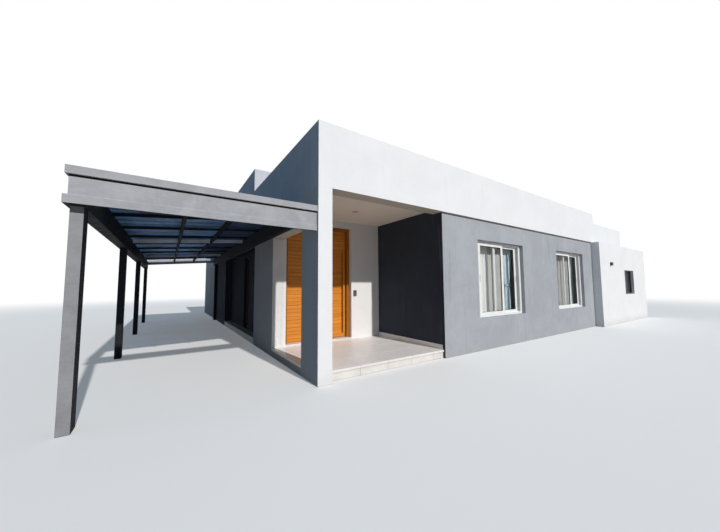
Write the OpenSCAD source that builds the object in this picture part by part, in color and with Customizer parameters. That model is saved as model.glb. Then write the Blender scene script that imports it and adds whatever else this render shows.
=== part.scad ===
// Single-storey flat-roofed house with a recessed porch, a carport along its left side
// and a lower wing on its right. Millimetres, +Z up, the front faces -Y.
// The plan is drawn from the ground corner of the front column and then moved so that
// the origin lies under the middle of the whole outline.

/* [House block] */
// Width of the front, from the column to the right corner
house_w = 11440; // [11100:10:13000]
// Depth of the house from the white band to the rear face
house_d = 16100; // [14000:10:20000]
// Height of the parapets above the ground
house_h = 4200; // [3900:10:4600]
// Thickness of the outer walls
wall_t = 250; // [200:10:320]
// Height of the finished floor above the ground
floor_h = 170; // [120:10:300]
// Height of the underside of the white band
band_z = 3110; // [3000:10:3300]
// How far the front wall stands back under the white band
wall_setback = 50; // [40:10:150]
// Height of the ceiling above the underside of the band
ceiling_rise = 90; // [70:10:150]
// Thickness of the ceiling board
ceiling_t = 50; // [20:5:80]
// Thickness of the roof slab
roof_t = 200; // [120:10:300]

/* [Porch] */
// Width of the porch, from the left face of the house to the dark side wall
porch_w = 2950; // [2700:10:3400]
// Depth of the porch, from the white band to the wall with the door
porch_d = 2330; // [1800:10:3000]
// How far the porch step stands back under the white band
porch_front = 120; // [80:10:250]
// Width of the column on the front
column_w = 250; // [200:10:400]
// Depth of the column
column_d = 660; // [450:10:900]
// Height of the opening on the left side of the porch
side_head = 2600; // [2450:10:2750]
// Thickness of the porch paving
paving_t = 40; // [20:5:60]
// Overhang of the paving over the step
nosing = 30; // [20:5:60]
// Height of the skirting on the dark wall
skirting_h = 100; // [60:10:150]
// Thickness of the skirting
skirting_t = 12; // [8:1:20]
// Radius of the ceiling light
light_r = 75; // [50:5:110]
// Depth of the ceiling light
light_t = 30; // [15:5:45]
// Distance from the left face of the house to the ceiling light
light_x = 1545; // [700:10:2200]
// Distance from the white band to the ceiling light
light_y = 1325; // [700:5:1700]
// Radius of the lens of the ceiling light
lens_r = 45; // [30:1:48]
// How deep the lens sits in its ring
lens_set = 15; // [5:1:20]

/* [Front door] */
// Distance from the left face of the house to the doorway
doorway_x = 310; // [290:10:500]
// Width of the doorway
doorway_w = 1750; // [1600:10:1900]
// Height of the head of the doorway above the ground
doorway_z = 3040; // [2700:10:3100]
// How far the door frame stands back from the porch wall
door_setback = 110; // [60:10:130]
// Face width of the frame and of the mullion
door_frame_w = 70; // [50:5:90]
// Width of the stop that the leaf closes against
door_stop = 15; // [12:1:25]
// Gap round the leaf
door_gap = 8; // [8:1:12]
// Thickness of the leaf and of the side panel
leaf_t = 60; // [45:5:70]
// Width of the fixed side panel
side_panel_w = 540; // [400:10:640]
// Height of the threshold above the floor
threshold_h = 40; // [20:5:60]
// Length of the pull bar
pull_len = 2060; // [900:20:2300]
// Height of the foot of the pull bar above the foot of the leaf
pull_rise = 140; // [60:10:400]
// Width of the pull bar
pull_w = 55; // [30:5:60]
// Thickness of the pull bar
pull_t = 28; // [20:2:40]
// Distance between the pull bar and the leaf
pull_stand = 45; // [35:5:60]
// Distance from the free edge of the leaf to the pull bar
pull_edge = 50; // [20:5:90]
// Radius of the stays of the pull bar
stay_r = 9; // [6:1:12]
// Distance from the ends of the pull bar to its stays
stay_inset = 200; // [80:10:400]
// Length of a hinge
hinge_len = 120; // [90:10:160]
// Outer radius of a hinge knuckle
knuckle_r = 10; // [9:1:14]
// Radius of a hinge pin
pin_r = 6; // [4:0.5:7]
// Clearance round a hinge pin
pin_play = 0.3; // [0.2:0.1:0.5]
// Clearance between hinge knuckles
knuckle_play = 1; // [0.5:0.5:2]
// Width of a hinge plate
hinge_plate_w = 35; // [25:5:45]
// Thickness of a hinge plate
hinge_plate_t = 3; // [2:0.5:5]
// Distance from the ends of the leaf to the outer hinges
hinge_inset = 250; // [150:10:400]
// Distance from the doorway to the intercom
intercom_x = 60; // [40:10:300]
// Height of the intercom above the ground
intercom_z = 1265; // [1100:5:1400]
// Width of the intercom
intercom_w = 90; // [60:5:120]
// Height of the intercom body
intercom_h = 150; // [100:5:220]
// Thickness of the intercom
intercom_t = 25; // [15:1:40]

/* [Front windows] */
// Width of a front window
window_w = 2080; // [1700:10:2300]
// Height of a window
window_h = 1870; // [1500:10:1950]
// Height of the window sills above the ground
sill_z = 750; // [600:10:900]
// Distance from the porch to the first window
window_1_in = 1250; // [600:10:1600]
// Distance from the second window to the right corner of the house
window_2_in = 1035; // [600:5:1600]
// Depth of the reveal in front of the frame
reveal = 90; // [60:5:110]
// Face height of the head and sill of the window frame
frame_w = 50; // [35:5:70]
// Face width of the sides of the window frame
jamb_w = 90; // [50:5:110]
// Depth of the window frame
frame_d = 96; // [84:2:120]
// Face height of the rails of a sash
sash_w = 65; // [45:5:85]
// Face width of the sides of a sash
stile_w = 90; // [50:5:100]
// Thickness of a sash
sash_t = 32; // [26:2:36]
// Overlap of the two sashes when both are shut
sash_lap = 260; // [120:10:280]
// How far each sash stands in from its end of the track
sash_ajar = 55; // [0:5:100]
// Clearance beside the tracks, in front of the outer sash and behind the inner one
track_y = 8; // [4:1:10]
// Thickness of the glass
glass_t = 6; // [4:1:10]
// How deep the glass sits in the sash
glass_bite = 12; // [8:1:20]

/* [Curtains] */
// Width of the curtain at the left of a front window
curtain_w = 930; // [600:10:950]
// Width of the sheer curtain in the middle
sheer_w = 760; // [500:10:780]
// Width of the curtain that is tied back
tied_w = 400; // [300:10:410]
// Thickness of the folds of a curtain
curtain_t = 90; // [60:5:120]
// Radius of the curtain rail
rail_r = 12; // [8:1:16]
// Clearance between a curtain and its rail
curtain_gap = 0.3; // [0.2:0.1:0.5]
// Distance between the front wall and the curtains
curtain_back = 60; // [40:5:120]
// How far a curtain hangs below the sill
curtain_drop = 40; // [0:10:200]
// Height of the curtain rail above the window
rail_rise = 120; // [80:5:150]
// How far the rail runs past the window
rail_over = 150; // [80:10:250]
// Width of a rail bracket
bracket_w = 30; // [20:5:50]
// Thickness of a rail bracket
bracket_t = 8; // [4:1:12]

/* [Left side recess] */
// Distance from the white band to the recess
recess_y = 3950; // [3500:10:4500]
// Length of the recess
recess_len = 4650; // [3500:10:5500]
// Distance from the start of the recess to its narrow window
slot_y = 1730; // [900:10:2300]
// Width of the narrow window
slot_w = 690; // [500:10:900]
// Height of the head of the narrow window
slot_head = 2500; // [2200:10:2550]
// Face width of the dark window frames
dark_frame_w = 45; // [35:5:60]
// Depth of the dark window frames
dark_frame_d = 60; // [45:5:70]

/* [Other sides] */
// Distance between the rear windows and the side walls
rear_window_x = 1500; // [900:10:2200]
// Distance from the rear face to the window in the right wall
right_window_y = 3000; // [1500:10:5000]

/* [Low wing] */
// Width of the wing past the right corner of the house
wing_w = 5460; // [4500:10:6500]
// Depth of the wing behind the front of the white band
wing_d = 8000; // [6000:10:10000]
// How far the wing stands in front of the white band
wing_proud = 200; // [100:10:400]
// How far the wing front laps over the corner of the house
wing_lap = 190; // [100:10:300]
// Distance from the white band to the tall wall over the wing
wing_upper_y = 600; // [500:10:1200]
// Thickness of the roof slab of the wing
wing_roof_t = 160; // [120:10:200]
// Height of the little parapet on the low front of the wing
wing_rim = 90; // [50:10:150]
// Distance from the right corner of the house to the wing window
wing_window_x = 2510; // [1500:10:3000]
// Width of the wing window
wing_window_w = 1200; // [900:10:1600]
// Height of the wing window
wing_window_h = 1000; // [800:10:1200]
// Height of the sill of the wing window above the ground
wing_sill_z = 1130; // [900:10:1300]
// Size of the square wall light
wall_light = 120; // [90:10:160]
// Depth of the wall light
wall_light_d = 70; // [50:5:100]
// Distance from the right corner of the house to the wall light
wall_light_x = 910; // [500:10:1200]
// Height of the wall light above the ground
wall_light_z = 2270; // [2000:10:2500]

/* [Roof box] */
// Distance from the white band to the roof box
box_y = 4150; // [3500:10:6000]
// Length of the roof box
box_len = 3050; // [2000:10:4000]
// Width of the roof box
box_w = 2600; // [1800:10:3500]
// Height of the top of the roof box above the ground
box_z = 4850; // [4700:10:5400]
// Thickness of the walls of the roof box
box_wall = 150; // [100:10:200]
// Thickness of the cover slab
cover_t = 100; // [60:10:150]

/* [Carport] */
// Width of the carport, from the house to the outer face of its side beam
carport_w = 2830; // [2500:10:3500]
// Length of the carport
carport_len = 12050; // [9500:10:13500]
// Distance from the white band to the front of the carport beam
carport_y = 50; // [20:10:300]
// Height of the underside of the beams
beam_z = 2390; // [2250:10:2500]
// Depth of the beams, from their underside to the cap
beam_h = 310; // [250:10:360]
// Thickness of the side beam and of the back beam
beam_t = 120; // [90:10:160]
// Thickness of the front beam
front_beam_t = 35; // [25:5:80]
// Depth of the back beam
back_beam_h = 200; // [150:10:250]
// Height of the lower board
board_h = 95; // [60:5:150]
// Thickness of the lower board on the front beam
board_t = 10; // [8:2:30]
// Thickness of the lower board on the side beam
side_board_t = 40; // [12:2:50]
// Height of the cap
cap_h = 90; // [60:5:120]
// How far the cap stands proud of the beam
cap_proud = 28; // [20:2:60]
// Thickness of the cap
cap_t = 30; // [20:2:50]
// Width of a post
post_w = 115; // [90:5:120]
// Depth of a post
post_d = 200; // [90:10:250]
// Distance from the front of the front beam to the first post
post_in = 110; // [80:10:300]
// Number of posts
post_count = 4; // [3:1:6]
// Distance from the last post to the back end of the side beam
post_end = 190; // [0:10:600]
// Distance from the post against the house to the back end of the side beam
wall_post_end = 1000; // [200:50:2000]
// Distance from the front beam to the first crossbar, where the roof sheets start
roof_in = 800; // [600:10:1200]
// How much higher the roof sheets lie at the house than at the side beam
roof_rise = 220; // [60:10:300]
// Depth of the wall beam
wall_beam_h = 350; // [150:10:400]
// Thickness of the wall beam
wall_beam_t = 70; // [50:5:100]
// Depth of the rafters and of the deep crossbars
rafter_h = 100; // [70:5:120]
// Thickness of the rafters
rafter_t = 60; // [40:5:80]
// Distance from the house to the outer rafter
rafter_1_x = 1745; // [1500:5:1900]
// Distance from the house to the inner rafter
rafter_2_x = 960; // [700:5:1200]
// Thickness of the crossbars
crossbar_t = 45; // [30:5:60]
// Depth of the light crossbars
crossbar_h = 45; // [30:5:60]
// Number of spaces between the first crossbar and the back beam
crossbar_count = 9; // [8:1:11]
// Thickness of the roof sheets
sheet_t = 10; // [6:1:16]
// Gap between the roof sheets and the back beam
sheet_gap = 150; // [20:10:300]

/* [Hidden] */
$fn = 48;
tiny = 1;

ceiling_z = band_z + ceiling_rise;
roof_z = ceiling_z + ceiling_t;
deck_z = roof_z + roof_t;
band_t = wall_setback + wall_t;
right_x = house_w - wall_t;
rear_y = house_d - wall_t;
door_wall_y = porch_d + wall_t;
slab_top = floor_h - paving_t;

recess_end = recess_y + recess_len;
slot_from = recess_y + slot_y;

leaf_y = door_wall_y - leaf_t;
door_frame_y = porch_d + door_setback;
stop_y = leaf_y - door_gap;
panel_x = doorway_x + door_frame_w;
mullion_x = panel_x + side_panel_w;
leaf_x = mullion_x + door_frame_w + door_gap;
leaf_end = doorway_x + doorway_w - door_frame_w - door_gap;
leaf_z = floor_h + threshold_h + door_gap;
leaf_top = doorway_z - door_frame_w - door_gap;
leaf_h = leaf_top - leaf_z;
hinge_x = leaf_x - door_gap / 2;
hinge_y = door_wall_y + knuckle_r;
hinge_zs = [leaf_z + hinge_inset, leaf_z + leaf_h / 2, leaf_top - hinge_inset];
knuckle_len = hinge_len / 3;
pull_x = leaf_end - pull_edge - pull_w;
pull_z = leaf_z + pull_rise;

window_1_x = porch_w + window_1_in;
window_2_x = house_w - window_2_in - window_w;
// Left edges of the two rear windows, mirrored about the middle of the house.
rear_xs = [rear_window_x, house_w - rear_window_x - window_w];
window_y = wall_setback + reveal;
track_rib = frame_d - 2 * track_y - 2 * sash_t;
inner_w = window_w - 2 * jamb_w;
inner_h = window_h - 2 * frame_w;
one_sash_w = (inner_w + sash_lap) / 2;
curtain_y = wall_setback + wall_t + curtain_back;
rail_z = sill_z + window_h + rail_rise;

wing_x = house_w;
wing_end = house_w + wing_w;
wing_front = -wing_proud;
wing_wall_t = wing_proud + wall_setback;
wing_roof_z = band_z - wing_rim - wing_roof_t;
wing_deck = band_z - wing_rim;

beam_top = beam_z + beam_h;
cap_top = beam_top + cap_h;
outer_x = -carport_w;
inner_x = outer_x + beam_t;
carport_end = carport_y + carport_len;
back_beam_y = carport_end - beam_t;
front_beam_back = carport_y + front_beam_t;
post_y = carport_y + post_in;
post_pitch = (carport_end - post_end - post_d - post_y) / (post_count - 1);
// The roof starts at the first crossbar and rises from the side beam to the house.
roof_y = front_beam_back + roof_in;
sheet_x = outer_x + cap_t;
roof_low = beam_top + crossbar_h;
wall_beam_z = sheet_z(-wall_beam_t) - wall_beam_h;
rafter_xs = [-rafter_1_x, -rafter_2_x];
bay_ends = concat([for (x = rafter_xs) each [x, x + rafter_t]], [-wall_beam_t]);
crossbar_pitch = (back_beam_y - roof_y) / crossbar_count;
// Room under the sheets, so that no sloped face cuts into another.
sheet_room = 0.02;
// Places of the deep crossbars, in spaces from the first crossbar.
deep_places = [3.5, 7];

x_min = outer_x - max(cap_proud, side_board_t);
x_max = wing_end;
y_min = wing_front - wall_light_d;
y_max = house_d;
origin = [(x_min + x_max) / 2, (y_min + y_max) / 2, 0];

white = [0.93, 0.93, 0.94];
grey = [0.56, 0.57, 0.61];
charcoal = [0.22, 0.23, 0.26];
stone = [0.78, 0.76, 0.74];
concrete = [0.66, 0.65, 0.63];
timber = [0.76, 0.46, 0.18];
steel = [0.55, 0.56, 0.58];
dark_steel = [0.20, 0.21, 0.23];
brown = [0.24, 0.17, 0.13];
cloth = [0.95, 0.95, 0.93];
glass = [0.62, 0.74, 0.80, 0.45];
smoked = [0.20, 0.30, 0.45, 0.55];

// Puts the plan's zero at its place relative to the origin.
module placed() {
    translate(-origin) children();
}

// A block between two corners.
module block(from, to) {
    translate(from) cube(to - from);
}

// A flat shape in the X-Y plane raised from z0 to z1.
module raised(z0, z1) {
    translate([0, 0, z0]) linear_extrude(z1 - z0) children();
}

// A ring standing in the X-Z plane, drawn from its lower left corner. side is the face width
// of its uprights and rail is the face height of its head and foot.
module standing_ring(w, h, side, rail, depth) {
    difference() {
        cube([w, depth, h]);
        translate([side, -tiny, rail]) cube([w - 2 * side, depth + 2 * tiny, h - 2 * rail]);
    }
}

// The whole ground outline inside the outer walls.
module floor_outline() {
    polygon([
        [wall_t, door_wall_y], [doorway_x, door_wall_y], [doorway_x, porch_d],
        [doorway_x + doorway_w, porch_d], [doorway_x + doorway_w, door_wall_y],
        [porch_w + wall_t, door_wall_y], [porch_w + wall_t, band_t],
        [right_x, band_t], [right_x, rear_y], [wall_t, rear_y],
        [wall_t, recess_end + wall_t], [2 * wall_t, recess_end + wall_t],
        [2 * wall_t, recess_y - wall_t], [wall_t, recess_y - wall_t]
    ]);
}

// The floors of the house, of the recess and of the wing.
module floor_slabs() {
    color(concrete) placed() {
        raised(0, floor_h) floor_outline();
        block([0, recess_y, 0], [wall_t, recess_end, floor_h]);
        block([wing_x, wall_setback, 0], [wing_end - wall_t, wing_d - wall_t, floor_h]);
    }
}

// The porch floor outline round the column.
module porch_outline(overhang) {
    front = porch_front - overhang;
    difference() {
        translate([0, front]) square([porch_w, porch_d - front]);
        translate([-tiny, -tiny]) square([column_w + tiny, column_d + tiny]);
    }
}

module porch_slab() {
    color(concrete) placed() raised(0, slab_top) porch_outline(0);
}

// The paving stops against the skirting, which stands on the slab.
module porch_paving() {
    color(stone) placed() raised(slab_top, floor_h) difference() {
        porch_outline(nosing);
        translate([porch_w - skirting_t, porch_front]) square([skirting_t + tiny, porch_d]);
    }
}

// The skirting along the foot of the dark porch wall.
module skirtings() {
    color(stone) placed()
        block([porch_w - skirting_t, porch_front, slab_top], [porch_w, porch_d, floor_h + skirting_h]);
}

module front_column() {
    color(white) placed() block([0, 0, 0], [column_w, column_d, band_z]);
}

module front_band() {
    color(white) placed() block([0, 0, band_z], [house_w, band_t, house_h]);
}

// One opening through a wall that faces the front.
module wall_opening(x, y, z, w, h, t) {
    translate([x, y - tiny, z]) cube([w, t + 2 * tiny, h]);
}

module bedroom_wall() {
    color(grey) placed() difference() {
        block([porch_w, wall_setback, 0], [house_w, band_t, band_z]);
        for (x = [window_1_x, window_2_x])
            wall_opening(x, wall_setback, sill_z, window_w, window_h, wall_t);
    }
}

module porch_side_wall() {
    color(charcoal) placed() block([porch_w, band_t, 0], [porch_w + wall_t, door_wall_y, roof_z]);
}

module porch_wall_left() {
    color(white) placed() block([wall_t, porch_d, 0], [doorway_x, door_wall_y, roof_z]);
}

module porch_wall_right() {
    color(white) placed()
        block([doorway_x + doorway_w, porch_d, 0], [porch_w, door_wall_y, roof_z]);
}

module porch_wall_head() {
    color(white) placed()
        block([doorway_x, porch_d, doorway_z], [doorway_x + doorway_w, door_wall_y, roof_z]);
}

// The pier beside the porch and the long wall behind the recess.
module left_wall() {
    color(grey) placed() {
        block([0, porch_d, 0], [wall_t, recess_y, side_head]);
        block([0, recess_end, 0], [wall_t, house_d, side_head]);
    }
}

// The wall over the porch opening, the pier and the recess, up to the parapet.
module left_upper_wall() {
    color(grey) placed()
        rotate([90, 0, 90]) linear_extrude(wall_t) polygon([
            [column_d, side_head], [house_d, side_head], [house_d, house_h],
            [band_t, house_h], [band_t, band_z], [column_d, band_z]
        ]);
}

module recess_wall() {
    color(charcoal) placed() difference() {
        block([wall_t, recess_y - wall_t, 0], [2 * wall_t, recess_end + wall_t, roof_z]);
        block([wall_t - tiny, slot_from, floor_h],
              [2 * wall_t + tiny, slot_from + slot_w, slot_head]);
    }
}

module right_wall() {
    color(grey) placed() difference() {
        block([right_x, band_t, 0], [house_w, house_d, house_h]);
        block([right_x - tiny, house_d - right_window_y - window_w, sill_z],
              [house_w + tiny, house_d - right_window_y, sill_z + window_h]);
    }
}

module rear_wall() {
    color(grey) placed() difference() {
        block([wall_t, rear_y, 0], [right_x, house_d, house_h]);
        for (x = rear_xs) wall_opening(x, rear_y, sill_z, window_w, window_h, wall_t);
    }
}

module porch_ceiling() {
    color(white) placed() difference() {
        block([wall_t, band_t, ceiling_z], [porch_w, porch_d, roof_z]);
        translate([light_x, light_y, ceiling_z - tiny]) cylinder(r = light_r, h = light_t + tiny);
    }
}

module ceiling_light() {
    color(steel) placed() translate([light_x, light_y, ceiling_z])
        difference() {
            cylinder(r = light_r, h = light_t);
            translate([0, 0, -tiny]) cylinder(r = lens_r, h = lens_set + tiny);
        }
}

// The flat roofs of the house and of the wing.
module roof_slabs() {
    color(concrete) placed() {
        block([wall_t, band_t, roof_z], [right_x, rear_y, deck_z]);
        block([wing_x, wall_setback, wing_roof_z], [wing_end - wall_t, wing_d - wall_t, wing_deck]);
    }
}

// A hollow box on the roof, its left wall standing on the parapet.
module roof_box() {
    color(grey) placed() difference() {
        block([0, box_y, deck_z], [box_w, box_y + box_len, box_z]);
        block([box_wall, box_y + box_wall, deck_z - tiny],
              [box_w - box_wall, box_y + box_len - box_wall, box_z - cover_t]);
        block([-tiny, box_y - tiny, deck_z - tiny], [wall_t, box_y + box_len + tiny, house_h]);
    }
}

module wing_front_wall() {
    color(white) placed() difference() {
        block([wing_x - wing_lap, wing_front, 0], [wing_end, wall_setback, band_z]);
        wall_opening(wing_x + wing_window_x, wing_front, wing_sill_z,
                     wing_window_w, wing_window_h, wing_wall_t);
    }
}

module wing_right_wall() {
    color(white) placed() translate([wing_end - wall_t, 0, 0]) rotate([90, 0, 90])
        linear_extrude(wall_t) polygon([
            [wall_setback, 0], [wing_d, 0], [wing_d, house_h], [wing_upper_y, house_h],
            [wing_upper_y, band_z], [wall_setback, band_z]
        ]);
}

module wing_rear_wall() {
    color(white) placed() difference() {
        block([wing_x, wing_d - wall_t, 0], [wing_end - wall_t, wing_d, house_h]);
        wall_opening(wing_x + wing_window_x, wing_d - wall_t, sill_z, window_w, window_h, wall_t);
    }
}

module wing_upper_wall() {
    color(white) placed()
        block([wing_x, wing_upper_y, wing_deck], [wing_end - wall_t, wing_upper_y + wall_t, house_h]);
}

module wall_light() {
    color(dark_steel) placed()
        translate([wing_x + wall_light_x - wall_light / 2, wing_front - wall_light_d, wall_light_z])
            cube([wall_light, wall_light_d, wall_light]);
}

// Plan of a frame member with its stop; the stop side is +X.
module stopped_member() {
    square([door_frame_w, door_wall_y - door_frame_y]);
    square([door_frame_w + door_stop, stop_y - door_frame_y]);
}

module door_frame() {
    z0 = floor_h + threshold_h;
    color(timber) placed() {
        block([doorway_x, door_frame_y, z0], [panel_x, door_wall_y, doorway_z]);
        translate([mullion_x, door_frame_y, z0])
            linear_extrude(doorway_z - z0) stopped_member();
        translate([doorway_x + doorway_w, door_frame_y, z0]) mirror([1, 0, 0])
            linear_extrude(doorway_z - z0) stopped_member();
        block([doorway_x, door_frame_y, doorway_z - door_frame_w],
              [doorway_x + doorway_w, door_wall_y, doorway_z]);
        block([mullion_x, door_frame_y, doorway_z - door_frame_w - door_stop],
              [doorway_x + doorway_w, stop_y, doorway_z]);
    }
}

module door_threshold() {
    color(stone) placed()
        block([doorway_x, porch_d, floor_h],
              [doorway_x + doorway_w, door_wall_y, floor_h + threshold_h]);
}

module door_side_panel() {
    color(timber) placed()
        block([panel_x, leaf_y, floor_h + threshold_h],
              [mullion_x, door_wall_y, doorway_z - door_frame_w]);
}

module door_leaf() {
    color(timber) placed() block([leaf_x, leaf_y, leaf_z], [leaf_end, door_wall_y, leaf_top]);
}

// The bar and its two stays.
module door_pull() {
    color(timber) placed() {
        translate([pull_x, leaf_y - pull_stand - pull_t, pull_z]) cube([pull_w, pull_t, pull_len]);
        for (z = [pull_z + stay_inset, pull_z + pull_len - stay_inset])
            translate([pull_x + pull_w / 2, leaf_y, z]) rotate([90, 0, 0])
                cylinder(r = stay_r, h = pull_stand);
    }
}

module door_intercom() {
    color(dark_steel) placed()
        translate([doorway_x + doorway_w + intercom_x, porch_d - intercom_t, intercom_z])
            cube([intercom_w, intercom_t, intercom_h]);
}

// The pin, the two outer knuckles and their plates on the mullion.
module frame_hinges() {
    color(steel) placed()
        for (z = hinge_zs) translate([hinge_x, hinge_y, z - hinge_len / 2]) {
            cylinder(r = pin_r, h = hinge_len);
            for (dz = [0, hinge_len - knuckle_len]) translate([0, 0, dz]) {
                cylinder(r = knuckle_r, h = knuckle_len);
                translate([-hinge_plate_w, -knuckle_r, 0])
                    cube([hinge_plate_w - door_gap / 2, hinge_plate_t, knuckle_len]);
                translate([-knuckle_r, -knuckle_r, 0])
                    cube([knuckle_r - door_gap / 2, knuckle_r, knuckle_len]);
            }
        }
}

// The middle knuckle and its plate on the leaf.
module leaf_hinges() {
    color(steel) placed()
        for (z = hinge_zs) translate([hinge_x, hinge_y, z - knuckle_len / 2 + knuckle_play])
            difference() {
                union() {
                    cylinder(r = knuckle_r, h = knuckle_len - 2 * knuckle_play);
                    translate([door_gap / 2, -knuckle_r, 0])
                        cube([hinge_plate_w, hinge_plate_t, knuckle_len - 2 * knuckle_play]);
                    translate([door_gap / 2, -knuckle_r, 0])
                        cube([knuckle_r - door_gap / 2, knuckle_r, knuckle_len - 2 * knuckle_play]);
                }
                translate([0, 0, -tiny]) cylinder(r = pin_r + pin_play, h = hinge_len);
            }
}

// Places a window drawn from its lower left outer corner at each white window's opening.
module at_windows() {
    for (x = [window_1_x, window_2_x]) translate([x, window_y, sill_z]) children();
    for (x = rear_xs) translate([x + window_w, house_d - reveal, sill_z]) rotate([0, 0, 180]) children();
    translate([house_w - reveal, house_d - right_window_y - window_w, sill_z])
        rotate([0, 0, 90]) children();
    translate([wing_x + wing_window_x + window_w, wing_d - reveal, sill_z])
        rotate([0, 0, 180]) children();
}

module window_frames() {
    color(white) placed() at_windows() {
        standing_ring(window_w, window_h, jamb_w, frame_w, frame_d);
        for (z = [frame_w - tiny, window_h - frame_w - track_rib])
            translate([jamb_w - tiny, track_y + sash_t, z])
                cube([inner_w + 2 * tiny, track_rib, track_rib + tiny]);
    }
}

// The pane of one sash, which sits in a groove all round.
module pane() {
    translate([stile_w - glass_bite, (sash_t - glass_t) / 2, sash_w - glass_bite])
        cube([one_sash_w - 2 * stile_w + 2 * glass_bite, glass_t,
              inner_h - 2 * sash_w + 2 * glass_bite]);
}

module sash() {
    difference() {
        standing_ring(one_sash_w, inner_h, stile_w, sash_w, sash_t);
        pane();
    }
}

// Puts a sash in the outer track on the left and one in the inner track on the right, each a
// little open.
module at_sashes() {
    side = jamb_w + sash_ajar;
    translate([side, track_y, frame_w]) children();
    translate([window_w - side - one_sash_w, frame_d - track_y - sash_t, frame_w]) children();
}

module window_sashes() {
    color(white) placed() at_windows() at_sashes() sash();
}

module window_glass() {
    color(glass) placed() {
        at_windows() at_sashes() pane();
        at_dark_windows() translate([dark_frame_w, (dark_frame_d - glass_t) / 2, dark_frame_w])
            cube([$dark_w - 2 * dark_frame_w, glass_t, $dark_h - 2 * dark_frame_w]);
    }
}

// Narrow fixed windows with dark frames: in the recess and in the front of the wing.
module at_dark_windows() {
    translate([wall_t + reveal, slot_from + slot_w, floor_h]) rotate([0, 0, -90])
        dark_window_size(slot_w, slot_head - floor_h) children();
    translate([wing_x + wing_window_x, wing_front + reveal, wing_sill_z])
        dark_window_size(wing_window_w, wing_window_h) children();
}

module dark_window_size(w, h) {
    $dark_w = w;
    $dark_h = h;
    children();
}

module dark_window_frames() {
    color(brown) placed() at_dark_windows()
        standing_ring($dark_w, $dark_h, dark_frame_w, dark_frame_w, dark_frame_d);
}

// A hanging curtain, a sheer one and one that is tied back, side by side in each front window.
module curtains() {
    z0 = sill_z - curtain_drop;
    z1 = rail_z - rail_r - curtain_gap;
    edges = [0, curtain_w, curtain_w + sheer_w, curtain_w + sheer_w + tied_w];
    color(cloth) placed()
        for (x = [window_1_x, window_2_x], i = [0:2])
            block([x + edges[i] + i * curtain_gap, curtain_y, z0],
                  [x + edges[i + 1], curtain_y + curtain_t, z1]);
}

// A round rail over each front window, on two brackets from the wall.
module curtain_rails() {
    y = curtain_y + curtain_t / 2;
    color(steel) placed()
        for (x = [window_1_x, window_2_x]) {
            translate([x - rail_over, y, rail_z]) rotate([0, 90, 0])
                cylinder(r = rail_r, h = window_w + 2 * rail_over);
            for (bx = [x - rail_over / 2, x + window_w + rail_over / 2])
                block([bx - bracket_w / 2, band_t, rail_z - bracket_t / 2],
                      [bx + bracket_w / 2, y, rail_z + bracket_t / 2]);
        }
}

// The outer row of posts, and one against the house under the wall beam.
module carport_posts() {
    color(steel) placed() {
        for (i = [0:post_count - 1])
            translate([outer_x, post_y + i * post_pitch, 0]) cube([post_w, post_d, beam_z]);
        translate([-post_w, carport_end - wall_post_end - post_w, 0])
            cube([post_w, post_w, wall_beam_z]);
    }
}

// Height of the underside of the roof sheets at a distance x from the house.
function sheet_z(x) = roof_low + roof_rise * (1 - x / sheet_x);

// A length that follows the pitch of the roof, between two heights above the underside of
// the sheets.
module pitched(from, to, low, high) {
    translate([0, to.y, 0]) rotate([90, 0, 0]) linear_extrude(to.y - from.y) polygon([
        [from.x, sheet_z(from.x) + low], [to.x, sheet_z(to.x) + low],
        [to.x, sheet_z(to.x) + high], [from.x, sheet_z(from.x) + high]
    ]);
}

// The level front and side beams, the back beam that follows the roof, and the deep beam
// along the house with its level foot.
module carport_beams() {
    color(steel) placed() {
        block([outer_x, carport_y, beam_z], [0, front_beam_back, beam_top]);
        block([outer_x, carport_y, beam_z], [inner_x, carport_end, beam_top]);
        pitched([inner_x, back_beam_y], [0, carport_end], -back_beam_h, 0);
        translate([0, back_beam_y, 0]) rotate([90, 0, 0]) linear_extrude(back_beam_y - roof_y) polygon([
            [-wall_beam_t, wall_beam_z], [0, wall_beam_z], [0, sheet_z(0)],
            [-wall_beam_t, sheet_z(-wall_beam_t)]
        ]);
    }
}

// A strip along the front beam and the side beam. out holds how far it stands out from the
// side and from the front, and into how far it reaches in.
module beam_strip(out, into, z0, z1) {
    difference() {
        block([outer_x - out.x, carport_y - out.y, z0], [0, carport_end, z1]);
        block([outer_x + into, carport_y + into, z0 - tiny], [tiny, carport_end + tiny, z1 + tiny]);
    }
}

// The board along the foot of the beams and the cap along the edge of the roof.
module carport_trims() {
    color(steel) placed() {
        beam_strip([side_board_t, board_t], 0, beam_z, beam_z + board_h);
        beam_strip([cap_proud, cap_proud], cap_t, beam_top, cap_top);
    }
}

module carport_rafters() {
    color(dark_steel) placed()
        for (x = rafter_xs) pitched([x, roof_y], [x + rafter_t, back_beam_y], -rafter_h, 0);
}

// One row of crossbars between the side beam, the rafters and the wall beam. It starts at x
// and stands in spaces behind the first one.
module crossbar_row(place, x, depth) {
    y = roof_y + place * crossbar_pitch;
    starts = [x, bay_ends[1], bay_ends[3]];
    for (b = [0:2]) pitched([starts[b], y], [bay_ends[2 * b], y + crossbar_t], -depth, 0);
}

// The light crossbars lie on the side beam, the deep ones end against it.
module carport_crossbars() {
    color(dark_steel) placed() {
        for (i = [0:crossbar_count - 1])
            if (len(search(i, deep_places)) == 0) crossbar_row(i, sheet_x, crossbar_h);
        for (i = deep_places) crossbar_row(i, inner_x, rafter_h);
    }
}

module carport_sheets() {
    color(smoked) placed() pitched([sheet_x, roof_y], [0, back_beam_y - sheet_gap], sheet_room, sheet_t);
}

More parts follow.
